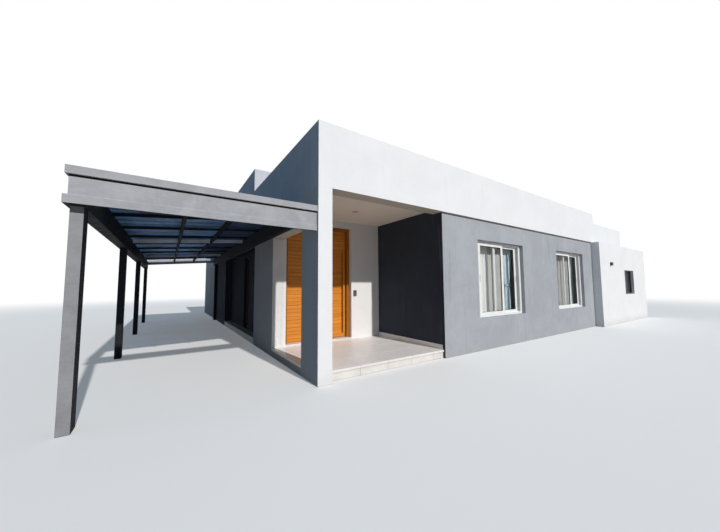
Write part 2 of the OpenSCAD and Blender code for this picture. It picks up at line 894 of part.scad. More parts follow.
floor_slabs();
porch_slab();
porch_paving();
skirtings();
front_column();
front_band();
bedroom_wall();
porch_side_wall();
porch_wall_left();
porch_wall_right();
porch_wall_head();
left_wall();
left_upper_wall();
recess_wall();
right_wall();
rear_wall();
porch_ceiling();
ceiling_light();
roof_slabs();
roof_box();
wing_front_wall();
wing_right_wall();
wing_rear_wall();
wing_upper_wall();
wall_light();
door_frame();
door_threshold();
door_side_panel();
door_leaf();
door_pull();
door_intercom();
frame_hinges();
leaf_hinges();
window_frames();
window_sashes();
window_glass();
dark_window_frames();
curtains();
curtain_rails();
carport_posts();
carport_beams();
carport_trims();
carport_rafters();
carport_crossbars();
carport_sheets();
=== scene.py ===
import math

import bmesh
import bpy
from mathutils import Matrix, Vector, noise


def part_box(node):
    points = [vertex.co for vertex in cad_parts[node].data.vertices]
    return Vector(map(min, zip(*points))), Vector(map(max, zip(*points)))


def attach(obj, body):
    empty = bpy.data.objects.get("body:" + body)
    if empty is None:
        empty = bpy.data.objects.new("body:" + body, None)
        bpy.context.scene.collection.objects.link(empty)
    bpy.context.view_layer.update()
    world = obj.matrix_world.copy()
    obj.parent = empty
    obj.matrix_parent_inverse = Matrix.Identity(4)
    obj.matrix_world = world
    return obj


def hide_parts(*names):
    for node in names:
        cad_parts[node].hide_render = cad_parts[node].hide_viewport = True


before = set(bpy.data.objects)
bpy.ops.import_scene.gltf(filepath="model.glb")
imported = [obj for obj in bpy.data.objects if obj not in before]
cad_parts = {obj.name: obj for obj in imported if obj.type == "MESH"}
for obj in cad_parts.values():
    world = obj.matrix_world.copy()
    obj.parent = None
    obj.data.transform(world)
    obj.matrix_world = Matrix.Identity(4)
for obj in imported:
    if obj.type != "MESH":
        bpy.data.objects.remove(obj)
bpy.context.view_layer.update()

# House coordinates: from the ground under the front left corner of the column, in metres
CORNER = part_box("front_column")[0]
# How near two faces have to lie to count as one
SKIN = 0.001


def at(x, y, z):
    return CORNER + Vector((x, y, z))


# Light and camera

EYE = (-1.928, -4.061, 1.503)
YAW, TILT, ROLL = math.radians(33.706), math.radians(4.144), math.radians(0.352)
LENS = 14.372
SUN_RISE, SUN_SIDE, SUN_SPREAD = math.radians(32.5), math.radians(6), math.radians(1.2)
SUN_COLOUR, SUN_STRENGTH = (1.0, 0.975, 0.94), 3.15
SKY_COLOUR, SKY_STRENGTH = (0.46, 0.72, 1.0, 1), 0.25


def hang_camera():
    """The viewpoint of the photo, from the lines of its long straight edges."""
    ahead = Vector((math.sin(YAW) * math.cos(TILT), math.cos(YAW) * math.cos(TILT), math.sin(TILT)))
    right = Vector((math.cos(YAW), -math.sin(YAW), 0))
    down = ahead.cross(right)
    across = math.cos(ROLL) * right + math.sin(ROLL) * down
    under = -math.sin(ROLL) * right + math.cos(ROLL) * down
    turn = Matrix((across, -under, -ahead)).transposed()
    data = bpy.data.cameras.new("street_camera")
    data.lens = LENS
    data.sensor_width = 36
    data.clip_end = 400
    camera = bpy.data.objects.new("street_camera", data)
    bpy.context.collection.objects.link(camera)
    camera.matrix_world = Matrix.Translation(at(*EYE)) @ turn.to_4x4()
    bpy.context.scene.camera = camera


def seen_directly(tree):
    """1 for a ray that comes from the camera, straight or by way of a gloss or a pane."""
    rays = tree.nodes.new("ShaderNodeLightPath")
    share = rays.outputs["Is Camera Ray"]
    for kind in ("Is Glossy Ray", "Is Transmission Ray"):
        either = tree.nodes.new("ShaderNodeMath")
        either.operation = "MAXIMUM"
        tree.links.new(share, either.inputs[0])
        tree.links.new(rays.outputs[kind], either.inputs[1])
        share = either.outputs[0]
    return share


def hang_lights():
    """A sun from the front, and a blue sky that looks white where it is seen directly."""
    level = math.cos(SUN_RISE)
    to_sun = Vector((math.sin(SUN_SIDE) * level, -math.cos(SUN_SIDE) * level, math.sin(SUN_RISE)))
    data = bpy.data.lights.new("key_light", "SUN")
    data.energy = SUN_STRENGTH
    data.angle = SUN_SPREAD
    data.color = SUN_COLOUR
    key = bpy.data.objects.new("key_light", data)
    bpy.context.collection.objects.link(key)
    key.rotation_euler = to_sun.to_track_quat("Z", "Y").to_euler()
    key.location = to_sun * 30

    world = bpy.data.worlds.new("soft_room")
    bpy.context.scene.world = world
    world.use_nodes = True
    tree = world.node_tree
    sky = tree.nodes["Background"]
    sky.inputs["Color"].default_value = SKY_COLOUR
    sky.inputs["Strength"].default_value = SKY_STRENGTH
    white = tree.nodes.new("ShaderNodeBackground")
    white.inputs["Color"].default_value = (1, 1, 1, 1)
    mix = tree.nodes.new("ShaderNodeMixShader")
    tree.links.new(seen_directly(tree), mix.inputs[0])
    tree.links.new(sky.outputs[0], mix.inputs[1])
    tree.links.new(white.outputs[0], mix.inputs[2])
    tree.links.new(mix.outputs[0], tree.nodes["World Output"].inputs["Surface"])


# Recipes for finishes

class Recipe:
    """One finish. Each step gives back the socket that the next step takes."""

    def __init__(self, name, roughness, specular=0.5, metallic=0.0):
        self.finish = bpy.data.materials.new(name)
        self.finish.use_nodes = True
        self.tree = self.finish.node_tree
        self.shader = self.tree.nodes["Principled BSDF"]
        self.coat = self.shader.outputs[0]
        self.shader.inputs["Roughness"].default_value = roughness
        self.shader.inputs["Metallic"].default_value = metallic
        self.shader.inputs["Specular IOR Level"].default_value = specular
        self.place = self.tree.nodes.new("ShaderNodeTexCoord").outputs["Object"]

    def feed(self, socket, value):
        if isinstance(value, bpy.types.NodeSocket):
            self.tree.links.new(value, socket)
        elif value is not None:
            if socket.type == "RGBA" and len(value) == 3:
                value = (*value, 1)
            socket.default_value = value

    def step(self, kind, output, inputs, **settings):
        node = self.tree.nodes.new("ShaderNode" + kind)
        for key, value in settings.items():
            setattr(node, key, value)
        for key, value in inputs.items():
            self.feed(node.inputs[key], value)
        return node.outputs[output]

    def sized(self, x, y, z, turn=(0, 0, 0), place=None):
        """Coordinates in which a grain of the given length along each axis is one unit."""
        scale = (1 / x, 1 / y, 1 / z)
        return self.step("Mapping", 0, {"Vector": place or self.place, "Scale": scale, "Rotation": turn})

    def grain(self, place, detail=4.0, rough=0.55, warp=0.0):
        return self.step("TexNoise", 0, {"Vector": place, "Scale": 1.0, "Detail": detail,
                                         "Roughness": rough, "Distortion": warp})

    def cloud(self, size, *look):
        return self.grain(self.sized(size, size, size), *look)

    def axis(self, name, place=None):
        return self.step("SeparateXYZ", name, {"Vector": place or self.place})

    def sum(self, how, a, b=0.0, c=0.0):
        return self.step("Math", 0, {0: a, 1: b, 2: c}, operation=how)

    def vector(self, how, a, b=None, output=0):
        return self.step("VectorMath", output, {0: a, 1: b}, operation=how)

    def ramp(self, value, low, high, bottom=0.0, top=1.0):
        return self.step("MapRange", 0, {"Value": value, "From Min": low, "From Max": high,
                                         "To Min": bottom, "To Max": top}, interpolation_type="SMOOTHSTEP")

    def blend(self, share, a, b, how="MIX"):
        """A share of colour b over colour a."""
        return self.step("Mix", 2, {0: share, 6: a, 7: b}, data_type="RGBA", blend_type=how)

    def tones(self, value, stops):
        node = self.tree.nodes.new("ShaderNodeValToRGB")
        while len(node.color_ramp.elements) < len(stops):
            node.color_ramp.elements.new(0.5)
        for element, (place, colour) in zip(node.color_ramp.elements, stops):
            element.position = place
            element.color = (*colour, 1)
        self.feed(node.inputs[0], value)
        return node.outputs[0]

    def rough_surface(self, height, depth, strength=1.0, over=None):
        return self.step("Bump", 0, {"Height": height, "Distance": depth, "Strength": strength,
                                     "Normal": over})

    def set(self, **inputs):
        for key, value in inputs.items():
            self.feed(self.shader.inputs[key.replace("_", " ")], value)
        return self.finish

    def mixed(self, share, under, over):
        return self.step("MixShader", 0, {0: share, 1: under, 2: over})

    def show(self, surface):
        self.feed(self.tree.nodes["Material Output"].inputs["Surface"], surface)
        return self.finish


def shade(paint, factor):
    return tuple(min(1, c * factor) for c in paint)


def painted_faces(r, paint, other_faces):
    """The paint, with others between two places along an axis. A later one covers the ones before it."""
    for axis, low, high, other in other_faces:
        past = r.sum("GREATER_THAN", r.axis(axis), low)
        on = r.sum("MULTIPLY", past, r.sum("LESS_THAN", r.axis(axis), high))
        paint = r.blend(on, paint, other)
    return paint


def painted_render(name, paint, other_faces=(), cloudiness=0.5, streaks=0.4, foot=0.5, streak_paint=None):
    """Fine render under masonry paint."""
    r = Recipe(name, roughness=0.9, specular=0.06)
    colour = painted_faces(r, paint, other_faces)
    broad = r.ramp(r.cloud(0.9, 5, 0.6, 0.4), 0.35, 0.65)
    close = r.ramp(r.cloud(0.11, 4, 0.6), 0.3, 0.7)
    sand = r.cloud(0.006, 2, 0.5)
    tone = r.sum("MULTIPLY_ADD", broad, 0.6, r.sum("MULTIPLY_ADD", close, 0.3, r.sum("MULTIPLY", sand, 0.1)))
    dull = 1 - 0.16 * cloudiness
    colour = r.blend(tone, r.blend(1.0, colour, (dull, dull, dull), "MULTIPLY"), colour)
    run = r.grain(r.sized(0.07, 0.07, 1.6), 4, 0.6)
    run = r.sum("MULTIPLY", r.ramp(run, 0.5, 0.78), r.ramp(r.cloud(0.8, 2), 0.42, 0.6))
    colour = r.blend(r.sum("MULTIPLY", run, streaks), colour, streak_paint or shade(paint, 0.62))
    damp = r.sum("MULTIPLY_ADD", r.cloud(0.12, 4, 0.6), 0.22, r.axis("Z"))
    damp = r.ramp(damp, 0.42, 0.02)
    colour = r.blend(r.sum("MULTIPLY", damp, foot * 0.4), colour, SPLASH)
    skim = r.rough_surface(r.cloud(0.16, 3, 0.5), 0.004, 0.5)
    bumps = r.rough_surface(sand, 0.0011, 0.75, skim)
    return r.set(Base_Color=colour, Normal=bumps, Roughness=r.ramp(close, 0, 1, 0.82, 0.93))


def stone_tiles(name, paint, first, pitch):
    """Large porcelain tiles, each with its own shade and its own veins."""
    r = Recipe(name, roughness=0.38, specular=0.2)
    index = r.vector("FLOOR", r.vector("DIVIDE", r.vector("SUBTRACT", r.place, first), (pitch, pitch, 10)))
    luck = r.step("TexWhiteNoise", "Value", {"Vector": index}, noise_dimensions="3D")
    jump = r.vector("ADD", r.place, r.step("TexWhiteNoise", "Color", {"Vector": index}))
    veins = r.grain(r.sized(0.35, 0.16, 0.35, (0, 0, 0.5), jump), 6, 0.62, 1.2)
    veins = r.ramp(r.sum("ABSOLUTE", r.sum("SUBTRACT", veins, 0.5)), 0.0, 0.06)
    fog = r.ramp(r.cloud(0.3, 3), 0.3, 0.7)
    colour = r.blend(fog, shade(paint, 0.94), paint)
    colour = r.blend(r.sum("MULTIPLY_ADD", veins, -0.16, 0.16), colour, shade(paint, 0.72))
    colour = r.blend(r.sum("MULTIPLY", luck, 0.12), colour, shade(paint, 0.82))
    dust = r.cloud(0.02, 3, 0.7)
    return r.set(Base_Color=colour, Roughness=r.ramp(dust, 0.3, 0.7, 0.28, 0.46),
                 Normal=r.rough_surface(dust, 0.0002, 0.4))


def plain_stone(name, paint, size, roughness):
    r = Recipe(name, roughness=roughness, specular=0.4)
    fog = r.ramp(r.cloud(size, 6, 0.65, 0.3), 0.3, 0.7)
    pores = r.ramp(r.cloud(0.006, 3, 0.6), 0.62, 0.72)
    colour = r.blend(fog, shade(paint, 0.84), paint)
    colour = r.blend(r.sum("MULTIPLY", pores, 0.35), colour, shade(paint, 0.6))
    return r.set(Base_Color=colour, Normal=r.rough_surface(r.cloud(0.01, 4, 0.6), 0.0006, 0.6),
                 Roughness=r.ramp(fog, 0, 1, roughness - 0.12, roughness))


def timber(name, along, pitch, first, tones, joint=0.0):
    """Oiled hardwood. The grain runs along the named axis, and each board of that pitch has its own.
    joint gives how far the dark oil in the joints reaches, as a share of the board."""
    r = Recipe(name, roughness=0.42, specular=0.32)
    boards = r.sum("DIVIDE", r.sum("SUBTRACT", r.axis("Z"), first), pitch)
    row = r.sum("FLOOR", boards)
    luck = r.step("TexWhiteNoise", "Value", {"W": row}, noise_dimensions="1D")
    spin = r.step("TexWhiteNoise", "Color", {"W": row}, noise_dimensions="1D")
    place = r.vector("ADD", r.place, r.vector("MULTIPLY", spin, (7, 3, 5)))
    length = {"X": (1.9, 0.05, 0.034), "Z": (0.034, 0.05, 1.9)}[along]
    fine = {"X": (0.22, 0.003, 0.0026), "Z": (0.0026, 0.003, 0.22)}[along]
    figure = r.grain(r.sized(*length, place=place), 5, 0.6, 0.8)
    pores = r.grain(r.sized(*fine, place=place), 3, 0.6)
    dark, middle = tones[0][1], tones[1][1]
    colour = r.blend(0.35, r.tones(figure, tones), middle)
    colour = r.blend(r.sum("MULTIPLY", luck, 0.38), colour, shade(middle, 0.62))
    colour = r.blend(r.ramp(pores, 0.58, 0.75, 0, 0.5), colour, shade(dark, 0.5))
    if joint:
        edge = r.sum("ABSOLUTE", r.sum("SUBTRACT", r.sum("SUBTRACT", boards, row), 0.5))
        oil = r.ramp(edge, 0.5 - joint, 0.5 - joint * 0.4, 0, 0.6)
        colour = r.blend(oil, colour, shade(dark, 0.3))
    height = r.sum("MULTIPLY_ADD", pores, 0.5, figure)
    return r.set(Base_Color=colour, Normal=r.rough_surface(height, 0.0007, 0.6),
                 Roughness=r.ramp(pores, 0.3, 0.7, 0.36, 0.55))


def lacquer(name, paint, roughness=0.35):
    """Powder coat on metal: a faint orange peel, with dust lying on what faces up."""
    r = Recipe(name, roughness=roughness)
    fog = r.ramp(r.cloud(0.2, 4, 0.6), 0.3, 0.7)
    colour = r.blend(fog, shade(paint, 0.93), paint)
    up = r.axis("Z", r.step("NewGeometry", "True Normal", {}))
    settled = r.sum("MULTIPLY", r.ramp(up, 0.4, 0.95), r.ramp(r.cloud(0.05, 4), 0.3, 0.7))
    colour = r.blend(r.sum("MULTIPLY", settled, 0.15), colour, DUST)
    return r.set(Base_Color=colour, Normal=r.rough_surface(r.cloud(0.0035, 2), 0.0002, 0.35),
                 Roughness=r.ramp(fog, 0, 1, roughness, roughness + 0.12))


def brushed_paint(name, paint, other_faces=(), marks=0.5):
    """Paint laid on by brush, cloudy and a little rubbed."""
    r = Recipe(name, roughness=0.7, specular=0.06)
    broad = r.ramp(r.cloud(0.5, 5, 0.65, 0.8), 0.32, 0.68)
    dabs = r.ramp(r.grain(r.sized(0.12, 0.12, 0.05), 5, 0.7, 1.0), 0.35, 0.7)
    hairs = r.grain(r.sized(0.15, 0.15, 0.004), 2)
    tone = r.sum("MULTIPLY_ADD", broad, 0.6, r.sum("MULTIPLY", dabs, 0.4))
    dull, fresh = 1 - 0.34 * marks, 1 + 0.16 * marks
    cover = r.blend(tone, (dull, dull, dull), (fresh, fresh, fresh))
    colour = r.blend(1.0, painted_faces(r, paint, other_faces), cover, "MULTIPLY")
    drips = r.sum("MULTIPLY", r.ramp(r.grain(r.sized(0.05, 0.05, 0.7), 3), 0.56, 0.75), 0.3 * marks)
    colour = r.blend(drips, colour, r.blend(1.0, colour, (0.6, 0.6, 0.6), "MULTIPLY"))
    bumps = r.rough_surface(hairs, 0.0006, 0.5, r.rough_surface(dabs, 0.001, 0.4))
    return r.set(Base_Color=colour, Normal=bumps, Roughness=r.ramp(dabs, 0, 1, 0.6, 0.82))


def steel(name, paint=(0.55, 0.55, 0.56), roughness=0.32):
    r = Recipe(name, roughness=roughness, metallic=1.0)
    lines = r.grain(r.sized(0.0015, 0.0015, 0.05), 3)
    colour = r.blend(r.ramp(r.cloud(0.05, 3), 0.3, 0.7), shade(paint, 0.85), paint)
    return r.set(Base_Color=colour, Normal=r.rough_surface(lines, 0.0002, 0.3),
                 Roughness=r.ramp(lines, 0.3, 0.7, roughness - 0.06, roughness + 0.1))


def moulded(name, paint, roughness):
    """Plastic or rubber with the fine pebbles of its mould."""
    r = Recipe(name, roughness=roughness, specular=0.45)
    pebbles = r.cloud(0.0012, 2)
    colour = r.blend(r.ramp(r.cloud(0.04, 3), 0.3, 0.7), shade(paint, 0.85), paint)
    return r.set(Base_Color=colour, Normal=r.rough_surface(pebbles, 0.0002, 0.5),
                 Roughness=r.ramp(pebbles, 0.3, 0.7, roughness - 0.08, roughness + 0.08))


def woven(name, paint, thread=0.0011, alpha=1.0):
    """Plain woven curtain cloth, on the piece's own UV map in metres."""
    r = Recipe(name, roughness=0.85, specular=0.2)
    cloth = r.step("TexCoord", "UV", {})
    turns = 2 * math.pi / thread
    warp, weft = (r.sum("SINE", r.sum("MULTIPLY", r.axis(way, cloth), turns)) for way in "XY")
    weave = r.sum("MULTIPLY", warp, weft)
    drawn = r.step("Mapping", 0, {"Vector": cloth, "Scale": (260, 4, 1)})
    slubs = r.ramp(r.step("TexNoise", 0, {"Vector": drawn, "Scale": 1.0, "Detail": 3.0}), 0.35, 0.7)
    colour = r.blend(slubs, shade(paint, 0.9), paint)
    return r.set(Base_Color=colour, Alpha=alpha, Normal=r.rough_surface(weave, 0.0003, 0.5),
                 Roughness=r.ramp(slubs, 0, 1, 0.8, 0.92), Sheen_Weight=0.25)


def clear_glass(name):
    """Float glass: clear where seen straight on, mirror-like at a low angle, with a little dust."""
    r = Recipe(name, roughness=0.03)
    r.set(Base_Color=(0.03, 0.04, 0.045), Roughness=r.ramp(r.cloud(0.5, 5, 0.6), 0.35, 0.75, 0.02, 0.10))
    clear = r.step("BsdfTransparent", 0, {"Color": (0.985, 0.99, 0.99)})
    edge = r.sum("POWER", r.step("LayerWeight", "Facing", {"Blend": 0.5}), 5.0)
    mirror = r.sum("MULTIPLY_ADD", edge, 0.9, 0.035)
    dusty = r.sum("MULTIPLY_ADD", r.ramp(r.cloud(0.15, 5, 0.7), 0.4, 0.8), 0.02, mirror)
    return r.show(r.mixed(r.sum("MINIMUM", dusty, 1.0), clear, r.coat))


def smoked_sheet(name):
    """Smoked blue translucent roof sheet, with dust that rain has drawn into bands across it."""
    r = Recipe(name, roughness=0.4, specular=0.12)
    bands = r.ramp(r.grain(r.sized(2.6, 0.16, 1), 5, 0.6, 0.5), 0.40, 0.62)
    speck = r.ramp(r.cloud(0.06, 5, 0.7), 0.35, 0.75)
    colour = r.blend(bands, (0.015, 0.032, 0.065), (0.24, 0.36, 0.52))
    colour = r.blend(r.sum("MULTIPLY", speck, 0.18), colour, (0.22, 0.25, 0.28))
    cells = r.sum("SINE", r.sum("MULTIPLY", r.axis("Y"), 2 * math.pi / 0.011))
    r.set(Base_Color=colour, Normal=r.rough_surface(cells, 0.0006, 0.5))
    grime = r.ramp(r.grain(r.sized(0.7, 1.5, 1), 4, 0.6, 0.6), 0.35, 0.62)
    clear = r.step("BsdfTransparent", 0, {"Color": r.blend(grime, (0.15, 0.23, 0.33), (0.28, 0.43, 0.62))})
    return r.show(r.mixed(r.ramp(bands, 0, 1, 0.62, 0.40), clear, r.coat))


# Roofing felt, in strips that each lap the one before
FELT_STRIP = 0.95
FELT_LAP = 0.08
FELT_T = 0.004


def roofing_felt(name):
    """Felt with stone chips, stained where water stands, and dark along the laps."""
    r = Recipe(name, roughness=0.9, specular=0.3)
    chips = r.cloud(0.004, 2)
    stain = r.ramp(r.cloud(1.3, 5, 0.6, 0.8), 0.35, 0.68)
    pond = r.ramp(r.cloud(2.6, 3, 0.5, 0.5), 0.5, 0.62)
    colour = r.blend(stain, (0.43, 0.425, 0.41), (0.50, 0.495, 0.48))
    colour = r.blend(r.sum("MULTIPLY", pond, 0.14), colour, (0.24, 0.225, 0.20))
    strip = r.sum("DIVIDE", r.sum("SUBTRACT", r.axis("Y"), at(0, FRONT_WALL, 0).y), FELT_STRIP)
    middle = r.sum("ABSOLUTE", r.sum("SUBTRACT", r.sum("FRACT", strip), 0.5))
    lap = r.ramp(middle, 0.488, 0.497)
    colour = r.blend(r.sum("MULTIPLY", lap, 0.55), colour, (0.14, 0.135, 0.13))
    colour = r.blend(r.ramp(chips, 0.4, 0.7, 0, 0.3), colour, (0.62, 0.61, 0.60))
    return r.set(Base_Color=colour, Normal=r.rough_surface(chips, 0.0012, 0.7))


# Paints, set so that they look under these lights as in the photo
WHITE = (0.84, 0.85, 0.87)
# Ceiling white, warmed to stand for painted warm light thrown up from the floor
BOUNCE_LIT_WHITE = (0.88, 0.82, 0.74)
PORCH_WHITE = (0.78, 0.765, 0.755)
PLASTER = (0.74, 0.73, 0.70)
GREY = (0.425, 0.445, 0.485)
# The grey paint on the left faces, set darker and bluer: grey paint with painted shade and painted sky light
SHADED_COLUMN_SIDE = (0.38, 0.425, 0.49)
SKYLIT_SHADE_GREY = (0.385, 0.46, 0.56)
SHADED_PIER_SIDE = (0.38, 0.40, 0.445)
BOX_GREY = (0.60, 0.615, 0.655)
SLAB_GREY = (0.40, 0.385, 0.375)
CARPORT_GREY = (0.40, 0.405, 0.43)
# Pale paint on the front faces of the deep crossbars only: painted light
LIT_CROSSBAR_GREY = (0.85, 0.85, 0.88)
# Near black for the carport's inner faces, undersides, posts, crossbars and rafters: painted shade
CARPORT_SHADE_BLACK = (0.020, 0.022, 0.026)
CHARCOAL = (0.048, 0.056, 0.074)
# Black for painted shadow under the carport's cap and painted shade under the upper side wall
SHADOW_BLACK = (0.012, 0.013, 0.016)
# Darker warm tone on the undersides of the band and of the side opening's head: painted shade
SHADED_SOFFIT = (0.58, 0.54, 0.49)
SPLASH = (0.40, 0.37, 0.33)
DUST = (0.42, 0.38, 0.33)
TILE = (0.88, 0.85, 0.82)
RISER = (0.84, 0.80, 0.765)
THRESHOLD = (0.70, 0.67, 0.64)
ROOM_FLOOR = (0.50, 0.47, 0.43)
SCREED = (0.45, 0.44, 0.42)
GROUT = (0.40, 0.38, 0.36)
DOOR_TONES = [(0.26, (0.36, 0.098, 0.008)), (0.5, (0.68, 0.235, 0.022)), (0.76, (0.86, 0.375, 0.045))]

# Thickness of the outer walls, and of the front wall with its band
WALL = 0.25
FRONT_WALL = 0.30
HOUSE_WIDTH = 11.44
HOUSE_DEPTH = 16.10
LEFT = CORNER.x

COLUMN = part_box("front_column")[1]
TILE_PITCH = 0.60
TILE_JOINT = 0.005
TILES = stone_tiles("porch_tiles", TILE, (COLUMN.x, COLUMN.y, 0), TILE_PITCH)

# The carport, as in the solids
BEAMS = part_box("carport_beams")
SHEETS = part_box("carport_sheets")
BEAM_DEPTH = 0.31
BEAM_T = 0.12
FRONT_BEAM_T = 0.035
BOARD = 0.095
SHADOW_LINE = 0.024
# Height of a paler strip along the top of the board
PALE_STRIP = 0.007
CROSSBAR = 0.045
CROSSBAR_SPACES = 9
BACK_BEAM = BEAMS[1].y - BEAM_T
CROSSBAR_PITCH = (BACK_BEAM - SHEETS[0].y) / CROSSBAR_SPACES
# Places of the deep crossbars, in spaces from the first one
DEEP_PLACES = (3.5, 7)


# Farther out than any face
OUTSIDE = 100


def face_below(axis, place, paint):
    return (axis, -OUTSIDE, place + SKIN, paint)


def face_above(axis, place, paint):
    return (axis, place - SKIN, OUTSIDE, paint)


def darker(tones, factor):
    return [(place, shade(colour, factor)) for place, colour in tones]


def coat(finish, *nodes):
    for node in nodes:
        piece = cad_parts[node]
        piece.data.materials.clear()
        piece.data.materials.append(finish)


def paint_walls():
    """Each wall in its own paint, with plaster inside and other paints on the faces that differ."""
    inside = at(WALL, FRONT_WALL, 0)
    band_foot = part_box("front_band")[0].z
    dark_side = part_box("porch_side_wall")[1].x
    porch_back, hall = (corner.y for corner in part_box("porch_wall_head"))
    parapet_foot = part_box("left_upper_wall")[0].z
    soffit_end = inside.y + 2
    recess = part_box("recess_wall")[1]
    dark_start, dark_end = recess.y - 0.3, recess.y + 2.2
    # The column's left face in a darker, bluer grey: painted shade
    coat(painted_render("column_render", WHITE, [face_below("X", LEFT, SHADED_COLUMN_SIDE)], 0.35, 0.12, 0.5),
         "front_column")
    # The band's underside in painted shade, and its left end in the bluer grey of painted shade
    coat(painted_render(
        "band_render", WHITE,
        [face_below("Z", band_foot, SHADED_SOFFIT), face_below("X", LEFT, SKYLIT_SHADE_GREY)], 0.35, 0.12, 0), "front_band")
    coat(painted_render(
        "front_wall_render", GREY,
        [face_above("Y", inside.y, PLASTER), face_below("X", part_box("bedroom_wall")[0].x, CHARCOAL)],
        1.0, 0.55, 0.6), "bedroom_wall")
    coat(painted_render(
        "porch_side_render", CHARCOAL, [face_above("X", dark_side, PLASTER)], 0.9, 0.3, 0.2,
        streak_paint=(0.10, 0.11, 0.13)), "porch_side_wall")
    coat(painted_render("porch_back_render", PORCH_WHITE, [face_above("Y", hall, PLASTER)], 0.3, 0.1, 0.2),
         "porch_wall_left", "porch_wall_right", "porch_wall_head")
    # The outer left face in a darker grey: painted shade
    coat(painted_render(
        "pier_render", GREY,
        [face_below("X", LEFT, SHADED_PIER_SIDE), ("Y", dark_start, dark_end, CHARCOAL),
         face_above("X", inside.x, PLASTER), face_below("Y", porch_back, PORCH_WHITE)],
        0.9, 0.2, 0.5), "left_wall")
    # Its underside in painted shade, black over the recess and a darker warm tone at the front; its outer
    # face in the bluer grey of painted shade and sky light
    coat(painted_render(
        "side_parapet_render", SKYLIT_SHADE_GREY,
        [face_below("Z", parapet_foot, SHADOW_BLACK), face_below("Y", soffit_end, SHADED_SOFFIT),
         face_above("Z", parapet_foot + SKIN * 3, SKYLIT_SHADE_GREY), face_above("X", inside.x, PLASTER)],
        0.9, 0.5, 0), "left_upper_wall")
    coat(painted_render(
        "recess_render", shade(CHARCOAL, 0.6), [face_above("X", recess.x, PLASTER)], 0.8, 0.3, 0.2,
        streak_paint=(0.05, 0.055, 0.065)), "recess_wall")
    for node, axis, place in (("right_wall", "X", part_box("right_wall")[0].x),
                              ("rear_wall", "Y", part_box("rear_wall")[0].y)):
        coat(painted_render(node + "_render", GREY, [face_below(axis, place, PLASTER)], 1.0, 0.55, 0.6), node)
    # Warm white on the ceiling: painted bounce light
    coat(painted_render("ceiling_render", BOUNCE_LIT_WHITE, (), 0.25, 0, 0), "porch_ceiling")
    # The left face of the roof box in the bluer grey of painted shade
    coat(painted_render(
        "roof_box_render", BOX_GREY, [face_below("X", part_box("roof_box")[0].x, SKYLIT_SHADE_GREY)], 0.5, 0.3, 0),
        "roof_box")
    coat(painted_render("wing_render", WHITE, (), 0.4, 0.15, 0.8),
         "wing_front_wall", "wing_right_wall", "wing_rear_wall", "wing_upper_wall")


def finish_floors():
    coat(plain_stone("room_floor", ROOM_FLOOR, 0.6, 0.4), "floor_slabs")
    coat(painted_render("slab_side_render", SLAB_GREY, (), 0.8, 0.4, 0.6), "porch_slab")
    coat(plain_stone("roof_screed", SCREED, 0.8, 0.85), "roof_slabs")
    coat(TILES, "skirtings")
    coat(plain_stone("riser_stone", THRESHOLD, 0.3, 0.5), "door_threshold")


def finish_fittings():
    coat(timber("frame_timber", "Z", BOARD_LENGTH, 0.0, darker(DOOR_TONES, 0.5)), "door_frame")
    coat(steel("hinge_steel"), "frame_hinges", "leaf_hinges", "curtain_rails")
    coat(lacquer("white_lacquer", (0.82, 0.82, 0.81)), "window_frames", "window_sashes")
    coat(lacquer("ring_lacquer", (0.45, 0.42, 0.40), 0.3), "ceiling_light")
    coat(lacquer("brown_lacquer", (0.045, 0.028, 0.02), 0.4), "dark_window_frames")
    coat(clear_glass("float_glass"), "window_glass")


def paint_carport():
    """Grey outside; near black inside and underneath as painted shade; a painted shadow line under the cap
    and a pale strip along the board.
    """
    low = BEAMS[0]
    # Undersides in near black: painted shade
    under = face_below("Z", low.z, CARPORT_SHADE_BLACK)
    beam_top = low.z + BEAM_DEPTH
    board_top = low.z + BOARD
    # Inner faces in near black for painted shade, and a strip of painted shadow under the cap
    coat(brushed_paint("beam_paint", CARPORT_GREY, [
        face_above("X", low.x + BEAM_T, CARPORT_SHADE_BLACK),
        face_below("Y", low.y + FRONT_BEAM_T - SKIN, CARPORT_GREY),
        ("Z", beam_top - SHADOW_LINE, beam_top - SKIN, SHADOW_BLACK),
        face_above("Y", BACK_BEAM, CARPORT_GREY), under]), "carport_beams")
    # A paler strip along the top of the board
    coat(brushed_paint("trim_paint", CARPORT_GREY, [
        ("Z", board_top - PALE_STRIP, board_top + SKIN, shade(CARPORT_GREY, 1.2)), under]), "carport_trims")
    # The posts in near black for painted shade, all but the front face of the first post
    first_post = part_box("carport_posts")[0].y
    coat(brushed_paint("post_paint", CARPORT_SHADE_BLACK, [face_below("Y", first_post, shade(CARPORT_GREY, 0.74))]),
         "carport_posts")
    # The front faces of the deep crossbars in pale grey: painted light
    fronts = [SHEETS[0].y + place * CROSSBAR_PITCH for place in DEEP_PLACES]
    lit_fronts = [("Y", y - SKIN, y + SKIN, LIT_CROSSBAR_GREY) for y in fronts]
    coat(brushed_paint("crossbar_paint", CARPORT_SHADE_BLACK, lit_fronts, 0.4), "carport_crossbars")
    # Rafters in near black: painted shade
    coat(brushed_paint("rafter_paint", shade(CARPORT_SHADE_BLACK, 0.8), (), 0.4), "carport_rafters")


# Tools for shaping pieces

def deselect():
    bpy.ops.object.select_all(action="DESELECT")


def take(piece):
    deselect()
    piece.select_set(True)
    bpy.context.view_layer.objects.active = piece


def block(name, low, high):
    deselect()
    low, high = Vector(low), Vector(high)
    bpy.ops.mesh.primitive_cube_add(size=1, location=(low + high) / 2)
    piece = bpy.context.object
    piece.name = piece.data.name = name
    piece.scale = high - low
    bpy.ops.object.transform_apply(location=True, rotation=True, scale=True)
    return piece


